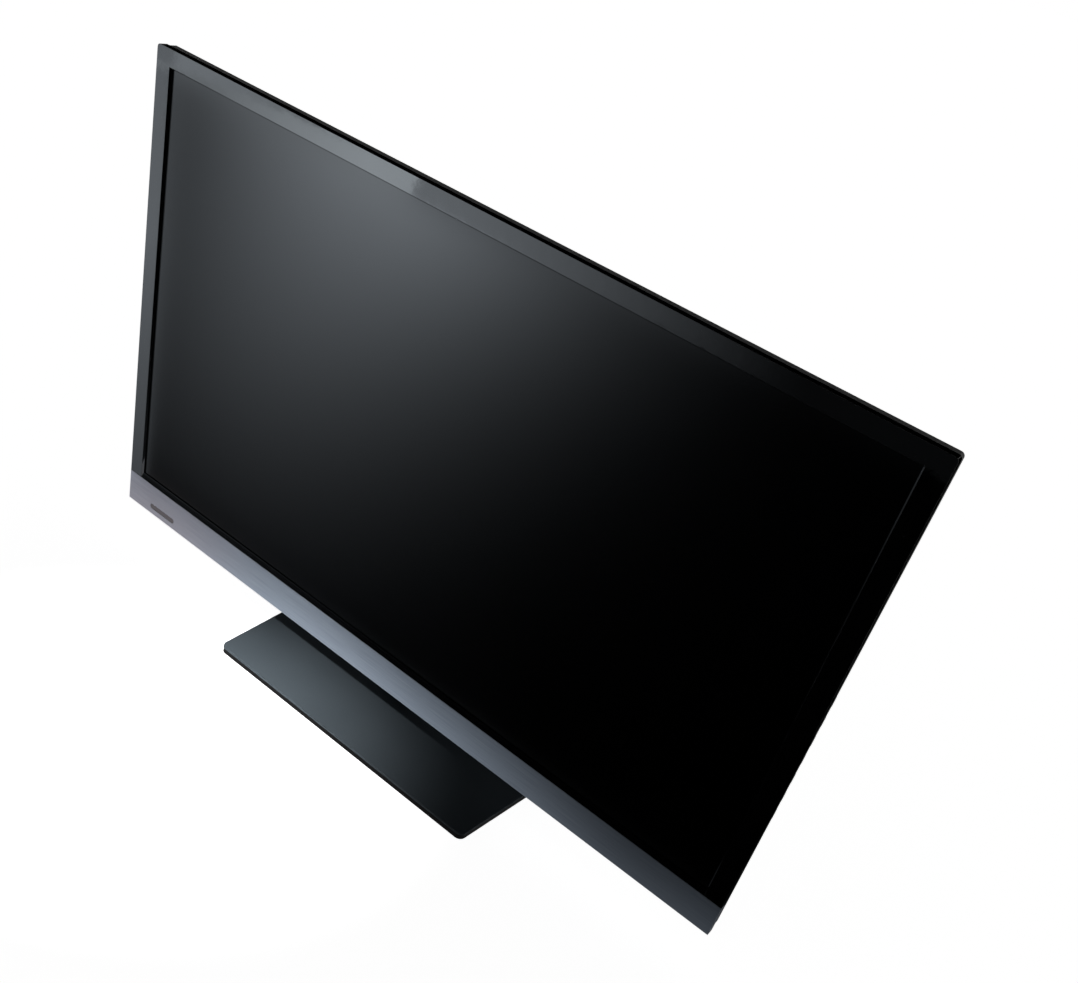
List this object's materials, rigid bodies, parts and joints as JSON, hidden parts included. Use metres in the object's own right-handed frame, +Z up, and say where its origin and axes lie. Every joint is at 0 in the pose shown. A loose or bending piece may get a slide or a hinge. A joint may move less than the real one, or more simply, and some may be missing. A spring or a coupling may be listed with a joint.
{
  "type": "flat screen television",
  "caption": "Slim wide-screen television with a gloss black frame, a grey metal strip below the picture and a flat rectangular stand that lets the set swivel.",
  "frame": {"origin": "on the table under the middle of the base", "axes": "+X to the viewer's right, +Y away from the viewer, +Z up; the screen faces -Y"},
  "size_m": [0.931, 0.225, 0.616],
  "materials": {
    "gloss_black": "high gloss moulded",
    "brushed_strip": "brushed and clear coated",
    "smoked_window": "smoked clear",
    "screen": "anti-reflection coated",
    "cover_black": "fine texture moulded",
    "button_black": "satin moulded",
    "base_black": "gloss moulded",
    "neck_black": "satin powder coat",
    "rubber": "moulded",
    "steel": "zinc plated sheet",
    "plated": "nickel plated",
    "black_steel": "black zinc plated",
    "brass": "turned",
    "foam": "foam strip",
    "panel_black": "moulded",
    "film": "optical film",
    "acrylic": "clear cast",
    "white_sheet": "white film",
    "circuit_green": "solder mask",
    "circuit_tan": "phenolic board",
    "aluminium": "extruded",
    "coil_yellow": "coil tape",
    "capacitor": "shrink sleeve",
    "cable": "cable sleeve",
    "ribbon": "flat ribbon",
    "jack_white": "moulded",
    "acetal": "moulded"
  },
  "bodies": {
    "base": {"base_cover": "base_black", "base_weight": "steel", "base_screws": "plated", "base_feet": "rubber", "slip_ring": "acetal", "pivot_pin": "steel", "pivot_washer": "steel", "pivot_nut": "steel"},
    "set": {"front_bezel": "gloss_black", "bottom_strip": "brushed_strip", "sensor_window": "smoked_window", "sensor_board": "circuit_green", "screen_gasket": "foam", "panel_front_frame": "steel", "lcd_panel": "screen", "middle_frame": "panel_black", "prism_sheet": "film", "diffuser_sheet": "film", "light_guide": "acrylic", "reflector_sheet": "white_sheet", "led_bars": "aluminium", "panel_chassis": "steel", "source_boards": "circuit_green", "control_board": "circuit_green", "control_shield": "steel", "panel_ribbons": "ribbon", "signal_ribbon": "cable", "main_board": "circuit_green", "main_heatsink": "aluminium", "hdmi_sockets": "plated", "usb_sockets": "plated", "network_socket": "plated", "audio_jacks": "jack_white", "antenna_socket": "plated", "power_board": "circuit_tan", "power_capacitors": "capacitor", "power_transformers": "coil_yellow", "power_heatsinks": "aluminium", "mains_inlet": "cover_black", "power_harness": "cable", "board_screws": "plated", "speaker_left": "panel_black", "speaker_right": "panel_black", "key_board": "circuit_green", "mount_posts": "steel", "mount_inserts": "brass", "stand_bracket": "steel", "rear_cover": "cover_black", "cover_screws": "black_steel", "stand_neck": "neck_black", "neck_cap": "cover_black", "stand_screws": "black_steel", "turntable": "steel"},
    "volume_down_button": {"volume_down_button": "button_black"},
    "volume_up_button": {"volume_up_button": "button_black"},
    "channel_down_button": {"channel_down_button": "button_black"},
    "channel_up_button": {"channel_up_button": "button_black"},
    "input_button": {"input_button": "button_black"},
    "home_button": {"home_button": "button_black"},
    "power_button": {"power_button": "button_black"}
  },
  "joints": [
    {"name": "stand_swivel", "type": "hinge", "parent": "base", "child": "set", "pos_m": [0, 0.012, 0], "axis": [0, 0, 1], "range_deg": [-20, 20]},
    {"name": "volume_down_button_press", "type": "slide", "parent": "set", "child": "volume_down_button", "axis": [-1, 0, 0], "range_m": [0, 0.0007], "stiffness_N_per_m": 1500},
    {"name": "volume_up_button_press", "type": "slide", "parent": "set", "child": "volume_up_button", "axis": [-1, 0, 0], "range_m": [0, 0.0007], "stiffness_N_per_m": 1500},
    {"name": "channel_down_button_press", "type": "slide", "parent": "set", "child": "channel_down_button", "axis": [-1, 0, 0], "range_m": [0, 0.0007], "stiffness_N_per_m": 1500},
    {"name": "channel_up_button_press", "type": "slide", "parent": "set", "child": "channel_up_button", "axis": [-1, 0, 0], "range_m": [0, 0.0007], "stiffness_N_per_m": 1500},
    {"name": "input_button_press", "type": "slide", "parent": "set", "child": "input_button", "axis": [-1, 0, 0], "range_m": [0, 0.0007], "stiffness_N_per_m": 1500},
    {"name": "home_button_press", "type": "slide", "parent": "set", "child": "home_button", "axis": [-1, 0, 0], "range_m": [0, 0.0007], "stiffness_N_per_m": 1500},
    {"name": "power_button_press", "type": "slide", "parent": "set", "child": "power_button", "axis": [-1, 0, 0], "range_m": [0, 0.0007], "stiffness_N_per_m": 1500}
  ]
}
